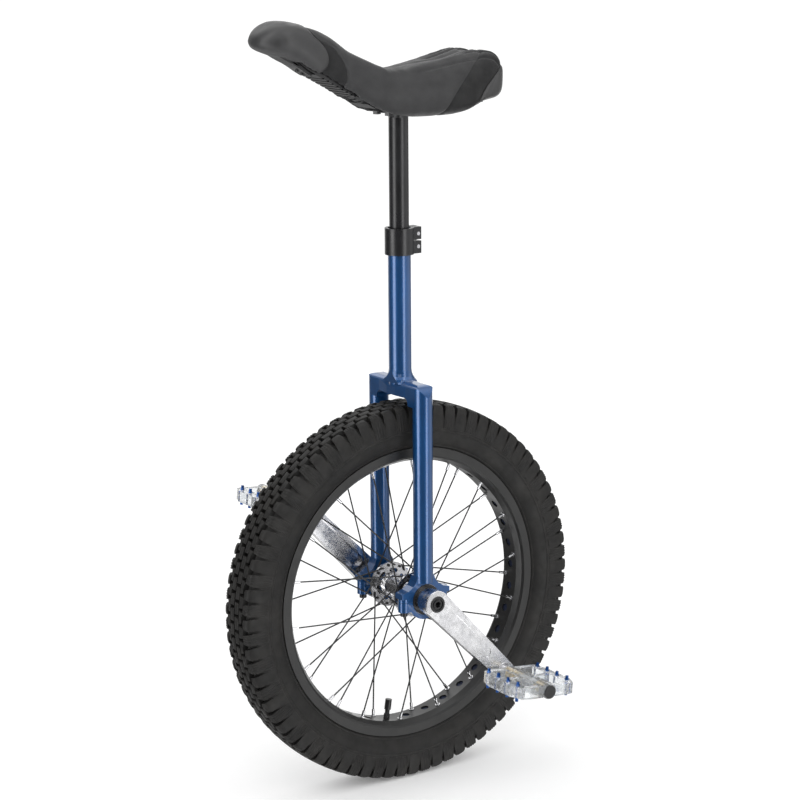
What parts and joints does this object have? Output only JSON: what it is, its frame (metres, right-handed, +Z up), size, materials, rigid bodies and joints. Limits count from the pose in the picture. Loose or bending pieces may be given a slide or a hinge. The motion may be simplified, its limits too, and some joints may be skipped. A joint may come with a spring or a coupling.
{
  "type": "unicycle",
  "caption": "Trials unicycle with a knobbly tyre, blue fork frame, sliding seatpost, curved saddle, cranks and clear platform pedals",
  "frame": {"origin": "on the ground, directly below the axle, in the middle of the wheel", "axes": "+X towards the rider's front (the saddle's nose), +Y towards the rider's left, +Z up; the wheel turns about Y"},
  "size_m": [0.5196, 0.3972, 1.0258],
  "materials": {
    "frame_paint": "gloss metallic blue",
    "black_metal": "satin black",
    "steel": "brushed",
    "polished": "polished",
    "black_steel": "gloss black",
    "rubber": "matt",
    "tyre": "matt",
    "rim_black": "satin anodised black",
    "strip": "matt",
    "cover": "satin synthetic leather",
    "band": "matt stretch fabric",
    "bumper": "satin",
    "foam": "open-cell foam",
    "plastic_black": "semi gloss",
    "clear": "clear",
    "pin_blue": "anodised blue",
    "brass": "turned"
  },
  "bodies": {
    "frame": {"frame": "frame_paint", "bearing_cap_left": "frame_paint", "bearing_cap_right": "frame_paint", "cap_bolts": "black_steel", "bearing_outer_left": "steel", "bearing_outer_right": "steel", "bearing_seals_left": "rubber", "bearing_seals_right": "rubber", "seat_clamp": "black_metal", "clamp_bolts": "steel"},
    "seatpost": {"seatpost": "black_metal", "saddle_base": "plastic_black", "saddle_bolts": "black_steel", "saddle_nuts": "black_steel", "saddle_foam": "foam", "cover_main": "cover", "cover_front_band": "band", "cover_rear_band": "band", "nose_bumper": "bumper", "tail_bumper": "bumper", "grab_handle": "plastic_black", "handle_screws": "black_steel"},
    "wheel": {"tyre": "tyre", "inner_tube": "rubber", "rim": "rim_black", "rim_strip": "strip", "eyelets": "polished", "nipples": "polished", "spokes_left": "black_steel", "spokes_right": "black_steel", "hub": "polished", "spindle": "steel", "bearing_inner_left": "steel", "bearing_inner_right": "steel", "hub_spacers": "black_steel", "crank_left": "polished", "crank_right": "polished", "crank_bolts": "black_steel", "pedal_axle_left": "steel", "pedal_axle_right": "steel", "valve_stem": "rubber"},
    "valve_cap": {"valve_cap": "plastic_black"},
    "cage_left": {"balls_left": "steel", "cage_left": "steel"},
    "cage_right": {"balls_right": "steel", "cage_right": "steel"},
    "pedal_left": {"pedal_left": "clear", "pins_left": "pin_blue", "bushes_left": "brass", "end_cap_left": "plastic_black"},
    "pedal_right": {"pedal_right": "clear", "pins_right": "pin_blue", "bushes_right": "brass", "end_cap_right": "plastic_black"}
  },
  "joints": [
    {"name": "seatpost_height", "type": "slide", "parent": "frame", "child": "seatpost", "axis": [0, 0, 1], "range_m": [-0.04, 0.075]},
    {"name": "wheel_spin", "type": "hinge", "parent": "frame", "child": "wheel", "pos_m": [0, 0, 0.2598], "axis": [0, 1, 0], "continuous": true},
    {"name": "pedal_left_spin", "type": "hinge", "parent": "wheel", "child": "pedal_left", "pos_m": [-0.1023, 0.15, 0.1501], "axis": [0, 1, 0], "continuous": true},
    {"name": "pedal_right_spin", "type": "hinge", "parent": "wheel", "child": "pedal_right", "pos_m": [0.1023, -0.15, 0.3695], "axis": [0, 1, 0], "continuous": true},
    {"name": "cage_left_spin", "type": "hinge", "parent": "frame", "child": "cage_left", "pos_m": [0, 0.0505, 0.2598], "axis": [0, 1, 0], "continuous": true},
    {"name": "cage_right_spin", "type": "hinge", "parent": "frame", "child": "cage_right", "pos_m": [0, -0.0505, 0.2598], "axis": [0, 1, 0], "continuous": true},
    {"name": "valve_cap_off", "type": "slide", "parent": "wheel", "child": "valve_cap", "axis": [-0.1461, 0, 0.9893], "range_m": [0, 0.09]}
  ],
  "couplings": [
    {"joint": "cage_left_spin", "follows": "wheel_spin", "ratio": 0.4008},
    {"joint": "cage_right_spin", "follows": "wheel_spin", "ratio": 0.4008}
  ]
}
